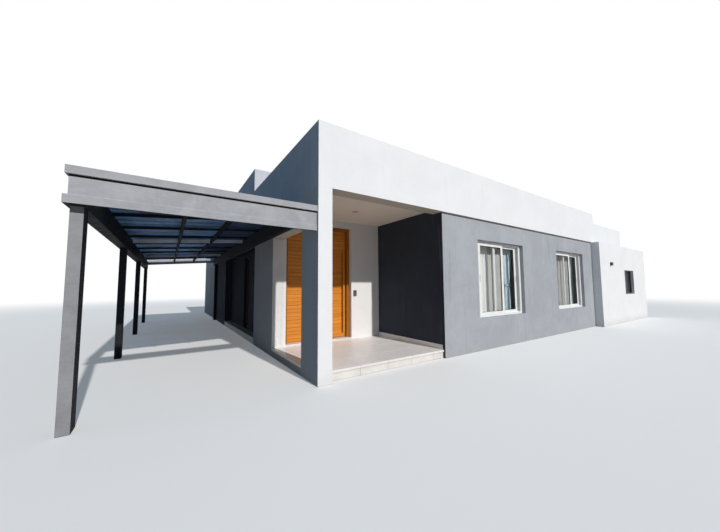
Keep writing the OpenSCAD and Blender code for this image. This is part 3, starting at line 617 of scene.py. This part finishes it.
def rod(name, start, end, radius, sides=24):
    deselect()
    start, end = Vector(start), Vector(end)
    along = end - start
    bpy.ops.mesh.primitive_cylinder_add(vertices=sides, radius=radius, depth=along.length,
                                        location=(start + end) / 2,
                                        rotation=along.to_track_quat("Z", "Y").to_euler())
    piece = bpy.context.object
    piece.name = piece.data.name = name
    bpy.ops.object.transform_apply(location=True, rotation=True, scale=True)
    return piece


def open_up(piece, kind, wanted):
    """Opens the piece for shaping, with only the wanted faces or edges selected."""
    take(piece)
    bpy.ops.object.mode_set(mode="EDIT")
    bpy.ops.mesh.select_mode(type=kind)
    bpy.ops.mesh.select_all(action="DESELECT")
    mesh = bmesh.from_edit_mesh(piece.data)
    mesh.normal_update()
    for element in mesh.faces if kind == "FACE" else mesh.edges:
        if wanted(element):
            element.select_set(True)
    bmesh.update_edit_mesh(piece.data)


def close_up():
    bpy.ops.object.mode_set(mode="OBJECT")


def ease(piece, width, segments=2, wanted=lambda edge: True):
    """Rounds over the wanted edges."""
    open_up(piece, "EDGE", wanted)
    bpy.ops.mesh.bevel(offset=width, segments=segments, affect="EDGES")
    close_up()
    return piece


def sink(piece, rim, depth, wanted):
    """Leaves a rim round the wanted faces and pushes what is inside it back by a depth."""
    open_up(piece, "FACE", wanted)
    bpy.ops.mesh.inset(thickness=rim, depth=-depth)
    close_up()
    return piece


def facing(x, y, z):
    way = Vector((x, y, z))
    return lambda face: face.normal.dot(way) > 0.99


def edges_at(axis, place):
    """Chooses the edges that lie at a place along an axis."""
    index = "XYZ".index(axis)
    return lambda edge: all(abs(corner.co[index] - place) < SKIN / 2 for corner in edge.verts)


def level(edge):
    return abs(edge.verts[0].co.z - edge.verts[1].co.z) < SKIN / 2


def upright(edge):
    return not level(edge)


def off_the_wall(back):
    """Chooses all edges but those that lie on the wall behind."""
    return lambda edge: any(corner.co.y < back - SKIN for corner in edge.verts)


def end_rim(edge):
    """The edges round the ends of a rod that lies along Y."""
    return len({round(face.normal.y, 1) for face in edge.link_faces}) > 1


def lower_rim(edge):
    """The edges round the foot of a rod that stands."""
    slopes = [face.normal.z for face in edge.link_faces]
    return min(slopes) < -0.9 < max(slopes)


def upper_rim(edge):
    """The edges round the head of a rod that stands."""
    return max(face.normal.z for face in edge.link_faces) > 0.9


def joined(pieces, name):
    deselect()
    for piece in pieces:
        piece.select_set(True)
    bpy.context.view_layer.objects.active = pieces[0]
    if len(pieces) > 1:
        bpy.ops.object.join()
    piece = bpy.context.object
    piece.name = piece.data.name = name
    return piece


def repeat(piece, moves, name):
    """Copies a piece to each place, every copy with its own mesh, and joins them into one."""
    copies = []
    for move in moves:
        copy = piece.copy()
        copy.data = piece.data.copy()
        bpy.context.collection.objects.link(copy)
        copy.data.transform(move)
        copies.append(copy)
    bpy.data.objects.remove(piece)
    return joined(copies, name)


def settle(piece, finish, body="house", replaces=(), smooth=None):
    """Gives a shaped piece its finish and the body that it moves with."""
    piece.data.materials.clear()
    piece.data.materials.append(finish)
    if smooth:
        take(piece)
        bpy.ops.object.shade_smooth_by_angle(angle=math.radians(smooth))
    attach(piece, body)
    if replaces:
        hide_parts(*replaces)
    return piece


# Plain pieces with their edges rounded: the new piece, how much, and its slot
EASED = {
    "carport_posts": ("eased_posts", 0.004, "carport_paint"),
    "carport_beams": ("eased_beams", 0.003, "carport_paint"),
    "carport_trims": ("eased_trims", 0.002, "carport_paint"),
    "carport_rafters": ("eased_rafters", 0.003, "carport_dark"),
    "carport_crossbars": ("eased_crossbars", 0.002, "carport_dark"),
    "roof_box": ("eased_roof_box", 0.006, "grey_stucco"),
    "door_frame": ("eased_door_frame", 0.002, "door_timber"),
    "window_sashes": ("eased_sashes", 0.0015, "white_frame"),
    "dark_window_frames": ("eased_dark_frames", 0.0015, "brown_frame"),
}


def sharp(edge):
    return len(edge.link_faces) == 2 and edge.calc_face_angle(0) > 0.5


def ease_plain_pieces():
    """Copies of plain pieces with their sharp edges rounded a little, each in place of its own."""
    for node, (name, width, slot) in EASED.items():
        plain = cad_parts[node]
        piece = bpy.data.objects.new(name, plain.data.copy())
        bpy.context.collection.objects.link(piece)
        open_up(piece, "EDGE", lambda edge: False)
        bpy.ops.mesh.select_all(action="SELECT")
        bpy.ops.mesh.remove_doubles(threshold=1e-5)
        bpy.ops.mesh.dissolve_limited(angle_limit=math.radians(1))
        bpy.ops.mesh.normals_make_consistent(inside=False)
        close_up()
        ease(piece, width, 2, sharp)
        settle(piece, plain.data.materials[0], replaces=(node,))


# Porch

TILE_EDGE = 0.0015
GROUT_INSET = 0.004


def lines_from(start, low, high, pitch):
    """Joint lines on a grid through start, with the two ends."""
    narrowest = 0.02
    lines = [low]
    step = math.ceil((low - start + narrowest) / pitch)
    while start + step * pitch < high - narrowest:
        lines.append(start + step * pitch)
        step += 1
    return [*lines, high]


def lay_porch_tiles():
    low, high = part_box("porch_paving")
    xs = lines_from(COLUMN.x, low.x, high.x, TILE_PITCH)
    ys = lines_from(COLUMN.y, low.y, high.y, TILE_PITCH)
    half = TILE_JOINT / 2
    tiles = []
    for left, right in zip(xs, xs[1:]):
        for front, back in zip(ys, ys[1:]):
            if right <= COLUMN.x + SKIN and back <= COLUMN.y + SKIN:
                continue
            near = (left if left == low.x else left + half, front if front == low.y else front + half, low.z)
            far = (right if right == high.x else right - half, back if back == high.y else back - half,
                   high.z)
            tiles.append(ease(block("tile", near, far), TILE_EDGE, 2, edges_at("Z", high.z)))
    settle(joined(tiles, "porch_tiles"), TILES, replaces=("porch_paving",))


def fill_joints():
    """Grout up to the rounded edges of the tiles, behind the column and beside it."""
    low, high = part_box("porch_paving")
    top = high.z - TILE_EDGE
    back = block("grout", (low.x + GROUT_INSET, COLUMN.y + GROUT_INSET, low.z), (high.x, high.y, top))
    front = block("grout", (COLUMN.x + GROUT_INSET, low.y + GROUT_INSET, low.z),
                  (high.x, COLUMN.y + GROUT_INSET, top))
    settle(joined([back, front], "porch_joints"), plain_stone("joint_grout", GROUT, 0.05, 0.9))


def lay_risers():
    """The upright tiles under the nosing, in lengths that follow the floor's joints."""
    thick, bed = 0.010, 0.0002
    slab_low, slab_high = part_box("porch_slab")
    face = slab_low.y - thick
    xs = lines_from(COLUMN.x, COLUMN.x, slab_high.x, TILE_PITCH)
    tiles = []
    for left, right in zip(xs, xs[1:]):
        tile = block("riser", (left + TILE_JOINT / 2, face, 2 * SKIN),
                     (right - TILE_JOINT / 2, slab_low.y - bed, slab_high.z - SKIN))
        tiles.append(ease(tile, 0.0012, 1, edges_at("Y", face)))
    settle(joined(tiles, "porch_risers"), plain_stone("riser_tile", RISER, 0.3, 0.45))


# Front door

BOARDS = 32
BOARD_LENGTH = 3.0
# Share of a board that the dark oil takes up for each metre of its groove
OIL = 14
BAR_T = 0.028
STAY_INSET = 0.2
STAY_R = 0.009
ROSE_R = 0.016
ROSE_T = 0.004


def board_door(name, node, body, groove):
    """Boards laid one on another across the opening, with their front edges planed off."""
    low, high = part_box(node)
    pitch = (high.z - low.z) / BOARDS
    board = block("board", low, (high.x, high.y, low.z + pitch))
    on_front = edges_at("Y", low.y)
    ease(board, groove, 2, lambda edge: on_front(edge) and level(edge))
    piece = repeat(board, [Matrix.Translation((0, 0, pitch * i)) for i in range(BOARDS)], name)
    finish = timber(name + "_wood", "X", pitch, low.z, DOOR_TONES, groove * OIL)
    settle(piece, finish, body, (node,))


def hang_pull_bar():
    """An upright bar on two stays, each with a rose at its root."""
    low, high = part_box("door_pull")
    middle = (low.x + high.x) / 2
    parts = [ease(block("bar", low, (high.x, low.y + BAR_T, high.z)), 0.004, 3)]
    for z in (low.z + STAY_INSET, high.z - STAY_INSET):
        parts.append(rod("stay", (middle, low.y + BAR_T - ROSE_T, z), (middle, high.y, z), STAY_R))
        rose = rod("rose", (middle, high.y - ROSE_T, z), (middle, high.y, z), ROSE_R)
        parts.append(ease(rose, 0.0012, 2, end_rim))
    finish = timber("pull_wood", "Z", BOARD_LENGTH, 0.0, darker(DOOR_TONES, 0.9))
    settle(joined(parts, "pull_bar"), finish, "front_door", ("door_pull",), smooth=35)


# Intercom beside the door

FACE_SINK = 0.0015
KNOB_ROOT = 0.003
LENS_DOWN, LENS_R, LENS_OUT = 0.035, 0.011, 0.001
BUTTON_UP, BUTTON_R, BUTTON_OUT = 0.032, 0.012, 0.0012
SLOTS, SLOTS_UP, SLOT_PITCH = 5, 0.066, 0.006
SLOT_HALF, SLOT_H, SLOT_OUT = 0.018, 0.0022, 0.0006


def house_intercom():
    """The shell, with a sunk face inside a raised rim."""
    low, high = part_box("door_intercom")
    body = block("intercom", low, high)
    ease(body, 0.004, 3, off_the_wall(high.y))
    sink(body, 0.008, FACE_SINK, facing(0, -1, 0))
    settle(body, moulded("intercom_shell", (0.10, 0.10, 0.105), 0.4),
           replaces=("door_intercom",))


def fit_intercom():
    """A lens over a row of slots over a button, all rooted in the sunk face."""
    low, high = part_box("door_intercom")
    middle, face = (low.x + high.x) / 2, low.y + FACE_SINK

    def knob(name, z, radius, out, edge):
        piece = rod(name, (middle, face - out, z), (middle, face + KNOB_ROOT, z), radius, 32)
        return ease(piece, edge, 2, end_rim)

    lens = knob("lens", high.z - LENS_DOWN, LENS_R, LENS_OUT, 0.0008)
    button = knob("intercom_button", low.z + BUTTON_UP, BUTTON_R, BUTTON_OUT, 0.001)
    slots = []
    for i in range(SLOTS):
        z = low.z + SLOTS_UP + i * SLOT_PITCH
        slot = block("slot", (middle - SLOT_HALF, face - SLOT_OUT, z),
                     (middle + SLOT_HALF, face + SKIN, z + SLOT_H))
        slots.append(ease(slot, 0.0004, 1))
    settle(joined([lens, *slots], "intercom_lens"), moulded("lens_black", (0.01, 0.01, 0.012), 0.15),
           smooth=35)
    settle(button, steel("button_steel"), smooth=35)


# Lamps

def fit_ceiling_lens():
    """A frosted lens inside the ring of the ceiling light."""
    low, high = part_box("ceiling_light")
    middle = (low + high) / 2
    radius, face, back = 0.0445, low.z + 0.008, low.z + 0.0149
    lens = rod("ceiling_lens", (middle.x, middle.y, face), (middle.x, middle.y, back), radius, 48)
    ease(lens, 0.003, 3, lower_rim)
    settle(lens, moulded("frosted_lens", (0.52, 0.51, 0.50), 0.35), smooth=40)


def fit_wall_lamp():
    """A shell with a hollow in its foot. Its back stays sharp against the wall."""
    low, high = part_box("wall_light")
    shell = block("wall_lamp", low, high)
    ease(shell, 0.004, 3, off_the_wall(high.y))
    sink(shell, 0.012, 0.01, facing(0, 0, -1))
    settle(shell, moulded("lamp_shell", (0.03, 0.03, 0.033), 0.45), replaces=("wall_light",))


# Windows: each is drawn with its lower left outer corner at the origin, as the frames are placed
WINDOW = Vector((2.08, 0.096, 1.87))
SILL = 0.75
JAMB, RAIL, STILE, SASH_RAIL, SASH_T, TRACK = 0.090, 0.050, 0.090, 0.065, 0.032, 0.008
SASH_W, SASH_IN = 1.080, 0.055
SASHES = ((JAMB + SASH_IN, TRACK), (WINDOW.x - JAMB - SASH_IN - SASH_W, WINDOW.y - TRACK - SASH_T))
GLASS_T, SEAL_W, SEAL_SET, PLAY = 0.006, 0.006, 0.005, 0.0002
LATCH_W, LATCH_T, LATCH_FOOT, LATCH_HEAD = 0.030, 0.006, 0.86, 1.02
# How far the windows stand in from the faces and the corners
SETBACK, REVEAL = 0.05, 0.09
FRONT_WINDOWS = (4.20, HOUSE_WIDTH - 1.035 - WINDOW.x)
REAR_IN, RIGHT_IN, WING_IN = 1.50, 3.0, 2.51
WING_DEPTH = 8.0


def window_places():
    def placed(x, y, turn):
        return Matrix.Translation(at(x, y, SILL)) @ Matrix.Rotation(math.radians(turn), 4, "Z")
    front, rear = SETBACK + REVEAL, HOUSE_DEPTH - REVEAL
    return [
        placed(FRONT_WINDOWS[0], front, 0),
        placed(FRONT_WINDOWS[1], front, 0),
        placed(REAR_IN + WINDOW.x, rear, 180),
        placed(HOUSE_WIDTH - REAR_IN, rear, 180),
        placed(HOUSE_WIDTH - REVEAL, HOUSE_DEPTH - RIGHT_IN - WINDOW.x, 90),
        placed(HOUSE_WIDTH + WING_IN + WINDOW.x, WING_DEPTH - REVEAL, 180),
    ]


def hoop(low, high, width):
    """A thin rectangular ring round a pane."""
    ring = block("hoop", low, high)
    open_up(ring, "FACE", lambda face: abs(face.normal.y) > 0.9)
    bpy.ops.mesh.inset(thickness=width, depth=0, use_individual=True)
    bpy.ops.mesh.bridge_edge_loops()
    close_up()
    return ring


def seal_windows():
    """A rubber hoop on both faces of each pane."""
    pane_front = (SASH_T - GLASS_T) / 2
    depths = ((SEAL_SET, pane_front - PLAY), (SASH_T - pane_front + PLAY, SASH_T - SEAL_SET))
    foot, head = RAIL + SASH_RAIL - SKIN, WINDOW.z - RAIL - SASH_RAIL + SKIN
    seals = []
    for x, y in SASHES:
        for near, far in depths:
            seals.append(hoop((x + STILE - SKIN, y + near, foot),
                              (x + SASH_W - STILE + SKIN, y + far, head), SEAL_W))
    settle(repeat(joined(seals, "seal"), window_places(), "window_seals"),
           moulded("black_rubber", (0.02, 0.02, 0.021), 0.7))


def latch_windows():
    """A latch on the outer stile of each sash."""
    (left, left_y), (right, right_y) = SASHES
    latches = []
    for x, y in ((left + LATCH_W, left_y), (right + SASH_W - 2 * LATCH_W, right_y)):
        latch = block("latch", (x, y - LATCH_T, LATCH_FOOT), (x + LATCH_W, y - PLAY, LATCH_HEAD))
        ease(latch, 0.002, 2)
        latches.append(sink(latch, 0.006, 0.003, facing(0, -1, 0)))
    settle(repeat(joined(latches, "latch"), window_places(), "window_latches"),
           lacquer("latch_lacquer", (0.55, 0.55, 0.55), 0.3))


# Curtains

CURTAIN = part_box("curtains")
LEFT_W, SHEER_W, TIED_W = 0.93, 0.76, 0.40
CURTAIN_GAP = 0.0003
# Height of the tie, and the edges of its curtain there and at the foot, from the sheer curtain on
TIE_HEIGHT = 1.52
TIE_EDGES = (0.03, 0.23)
FOOT_EDGES = (0.02, 0.28)
# How the cloth is drawn in over the tie, and how fast and how roundly it spreads under it
PULL, SPREAD, ROUND = 1.6, 2.2, 0.6
DEEPEST_PLEAT = 0.043
FOLD_ROOM = 0.044
HEADING = 0.10
CLOTH_T = 0.0012
# How far the pleats wander, how much they differ in depth, how sharp they are and how far they lean
WANDER, UNEVEN, SHARP, LEAN = 1.1, 0.22, 0.18, 0.075


def row_length(pleats, depth, width, steps=24):
    """Length of one row of cloth, with pleats of that depth squeezed into a width."""
    slope = 2 * math.pi * pleats * depth / width
    turns = (2 * math.pi * i / steps for i in range(steps))
    return width * sum(math.sqrt(1 + (slope * math.cos(turn)) ** 2) for turn in turns) / steps


def pleat_depth(pleats, width, flat):
    """The depth of pleats that takes up a flat length of cloth within a width."""
    shallow, deep = 0.0, DEEPEST_PLEAT
    for _ in range(18):
        middle = (shallow + deep) / 2
        if row_length(pleats, middle, width) < flat:
            shallow = middle
        else:
            deep = middle
    return shallow


def drawn_in(edge, at_tie, at_foot, z):
    """Where an edge of a tied curtain runs at a height: drawn in at the tie, and freer at the foot."""
    foot, head = CURTAIN[0].z, CURTAIN[1].z
    if z > TIE_HEIGHT:
        share = (z - TIE_HEIGHT) / (head - TIE_HEIGHT)
        return edge + (at_tie - edge) * max(0.0, 1 - share) ** PULL
    share = (TIE_HEIGHT - z) / (TIE_HEIGHT - foot)
    return at_tie + (at_foot - at_tie) * min(1, share * SPREAD) ** ROUND


def pleated(across, z, pleats, seed):
    """How far round its pleats the cloth is at a place, and how deep it lies there in pleats one deep."""
    drift = noise.noise(Vector((across * pleats * 0.5 + seed, z * 1.3, seed)))
    swell = 1 + UNEVEN * noise.noise(Vector((across * pleats + seed * 3, z * 0.8, 5)))
    loose = 1 - max(0.0, (z - CURTAIN[1].z + HEADING) / HEADING)
    turn = 2 * math.pi * pleats * across + drift * WANDER * loose
    wave = math.sin(turn) + SHARP * math.sin(2 * turn + seed) * loose
    return turn, wave * swell * 0.92


def thicken(piece):
    body = piece.modifiers.new("cloth_thickness", "SOLIDIFY")
    body.thickness = CLOTH_T
    body.offset = 0
    take(piece)
    bpy.ops.object.modifier_apply(modifier=body.name)


def curtain(name, edges, cloth, pleats, depth, seed, tied_at=None):
    """A gathered curtain between two edges. tied_at gives the place that its tie is counted from."""
    low, high = CURTAIN
    drop = high.z - low.z
    rows_down = 60
    flat = row_length(pleats, depth, edges[1] - edges[0])
    rows = []
    for row in range(rows_down + 1):
        left, right = edges
        if tied_at is not None:
            z = low.z + drop * row / rows_down
            left, right = (drawn_in(edge, tied_at + tie, tied_at + foot, z)
                           for edge, tie, foot in zip(edges, TIE_EDGES, FOOT_EDGES))
        rows.append((left, right - left, pleat_depth(pleats, right - left, flat)))
    deselect()
    bpy.ops.mesh.primitive_grid_add(x_subdivisions=pleats * 10, y_subdivisions=rows_down, size=1)
    piece = bpy.context.object
    piece.name = piece.data.name = name
    for vertex in piece.data.vertices:
        across, up = vertex.co.x + 0.5, vertex.co.y + 0.5
        left, width, deep = rows[round(up * rows_down)]
        z = low.z + drop * up
        turn, wave = pleated(across, z, pleats, seed)
        fold = min(FOLD_ROOM, max(-FOLD_ROOM, deep * wave))
        x = left + width * across + LEAN * width / pleats * math.sin(2 * turn)
        vertex.co = Vector((x, (low.y + high.y) / 2 + fold, z))
    for corner in piece.data.uv_layers[0].data:
        corner.uv = (corner.uv[0] * flat, corner.uv[1] * drop)
    thicken(piece)
    settle(piece, cloth, replaces=("curtains",), smooth=60)


def tie_band(name, tied_at, finish):
    """The band round a tied curtain."""
    middle = (CURTAIN[0].y + CURTAIN[1].y) / 2
    half, margin, low_z, high_z = 0.045, 0.008, 1.50, 1.545
    band = block(name, (tied_at + TIE_EDGES[0] - margin, middle - half, low_z),
                 (tied_at + TIE_EDGES[1] + margin, middle + half, high_z))
    ease(band, 0.018, 4, upright)
    ease(band, 0.004, 2, level)
    settle(band, finish, smooth=40)


def hang_curtains():
    white = woven("white_cloth", (0.95, 0.945, 0.935))
    sheer = woven("sheer_cloth", (0.80, 0.77, 0.73), 0.0016, 0.9)
    cool = woven("tied_cloth", (0.78, 0.93, 0.97))
    for i, x in enumerate(FRONT_WINDOWS, 1):
        start = at(x, 0, 0).x
        middle = start + LEFT_W
        tied = middle + SHEER_W
        curtain(f"curtain_{i}_left", (start, middle), white, 9, 0.022, i)
        curtain(f"curtain_{i}_sheer", (middle + CURTAIN_GAP, tied), sheer, 9, 0.018, i + 4)
        curtain(f"curtain_{i}_tied", (tied + 2 * CURTAIN_GAP, tied + TIED_W), cool, 6, 0.011, i + 8, tied)
        tie_band(f"curtain_{i}_tie", tied, woven(f"tie_cloth_{i}", (0.52, 0.62, 0.68)))


# Carport roof: its pieces are laid flat and then pitched up to the house

SHEET_T, SHEET_PLAY = 0.010, 0.004
CAP_HALF, CAP_T, CAP_END = 0.028, 0.004, 0.002
SCREW_R, SCREW_H, SCREWS_A_CAP, SCREW_INSET = 0.009, 0.006, 7, 0.12
JOINTS = [SHEETS[0].y + i * CROSSBAR_PITCH + CROSSBAR / 2 for i in range(1, CROSSBAR_SPACES)]


def pitched(piece):
    low, high = SHEETS
    rise = (high.z - low.z - SHEET_T) / (high.x - low.x)
    pitch = Matrix.Identity(4)
    pitch[2][0], pitch[2][3] = rise, low.z - rise * low.x
    piece.data.transform(pitch)
    return piece


def lay_sheets():
    """A sheet from each joint to the next one."""
    low, high = SHEETS
    lines = [low.y, *JOINTS, high.y]
    sheets = []
    for near, far in zip(lines, lines[1:]):
        sheet = block("sheet", (low.x, near + SHEET_PLAY, 0), (high.x, far - SHEET_PLAY, SHEET_T))
        sheets.append(ease(sheet, 0.002, 1))
    settle(pitched(joined(sheets, "roof_sheets")), smoked_sheet("smoked_sheet"),
           replaces=("carport_sheets",))


def cap_joints():
    """A metal cap over each joint, held down by a row of screws."""
    low, high = SHEETS
    top = SHEET_T + CAP_T
    first = low.x + SCREW_INSET
    screw_pitch = (high.x - SCREW_INSET - first) / (SCREWS_A_CAP - 1)
    caps, places = [], []
    for y in JOINTS:
        cap = block("cap", (low.x + CAP_END, y - CAP_HALF, SHEET_T), (high.x - CAP_END, y + CAP_HALF, top))
        caps.append(ease(cap, 0.0015, 2))
        places += [Matrix.Translation((first + i * screw_pitch, y, top)) for i in range(SCREWS_A_CAP)]
    settle(pitched(joined(caps, "sheet_joints")), steel("joint_aluminium", (0.60, 0.61, 0.62), 0.4))
    screw = ease(rod("screw", (0, 0, 0), (0, 0, SCREW_H), SCREW_R, 12), 0.002, 2, upper_rim)
    settle(pitched(repeat(screw, places, "sheet_screws")), steel("screw_steel", (0.45, 0.45, 0.46), 0.35),
           smooth=40)


# Roofs

HOUSE_DECK = ((WALL, FRONT_WALL, 3.45), (HOUSE_WIDTH - WALL, HOUSE_DEPTH - WALL, 3.45))
WING_DECK = ((HOUSE_WIDTH, 0.85, 3.02), (HOUSE_WIDTH + 5.21, 7.75, 3.02))


def cover_roofs():
    """Roofing felt in lapped strips between the parapets. Every other strip lies a little higher."""
    lift, shortest = 0.0015, 0.01
    strips = []
    for low, high in (HOUSE_DECK, WING_DECK):
        near, far = at(*low), at(*high)
        y = near.y
        while y < far.y - shortest:
            end = min(y + FELT_STRIP + FELT_LAP, far.y)
            strip = block("felt", (near.x, y, near.z), (far.x, end, near.z + FELT_T))
            ease(strip, 0.0015, 1, level)
            strip.data.transform(Matrix.Translation((0, 0, lift * (len(strips) % 2))))
            strips.append(strip)
            y += FELT_STRIP
    settle(joined(strips, "roof_felt"), roofing_felt("roofing_felt"))


# Floor under the house

FLOOR_R, FLOOR_DROP = 160, 0.004
FADE_START, FADE_END = 17, 42


def lay_stage():
    """Pale paper that fades to white far off. The light that it throws back comes from a duller tone."""
    deselect()
    bpy.ops.mesh.primitive_circle_add(vertices=96, radius=FLOOR_R, fill_type="NGON",
                                      location=(0, 0, -FLOOR_DROP))
    floor = bpy.context.object
    floor.name = floor.data.name = "stage_floor"
    r = Recipe("stage_paper", roughness=0.95, specular=0.1)
    r.set(Base_Color=(0.40, 0.365, 0.33))
    lit = r.step("BsdfDiffuse", 0, {"Color": (0.74, 0.74, 0.74)})
    pale = r.step("AddShader", 0, {0: lit, 1: r.step("Emission", 0, {"Strength": 0.16})})
    white = r.step("Emission", 0, {"Color": (1, 1, 1)})
    away = r.vector("LENGTH", r.place, output="Value")
    fading = r.mixed(r.ramp(away, FADE_START, FADE_END), pale, white)
    floor.data.materials.append(r.show(r.mixed(seen_directly(r.tree), r.coat, fading)))


hang_camera()
hang_lights()
lay_stage()
paint_walls()
finish_floors()
finish_fittings()
paint_carport()
ease_plain_pieces()
lay_porch_tiles()
fill_joints()
lay_risers()
board_door("side_panel_boards", "door_side_panel", "house", 0.005)
board_door("leaf_boards", "door_leaf", "front_door", 0.0035)
hang_pull_bar()
house_intercom()
fit_intercom()
fit_ceiling_lens()
fit_wall_lamp()
seal_windows()
latch_windows()
hang_curtains()
lay_sheets()
cap_joints()
cover_roofs()

bpy.context.scene.view_settings.view_transform = "Standard"
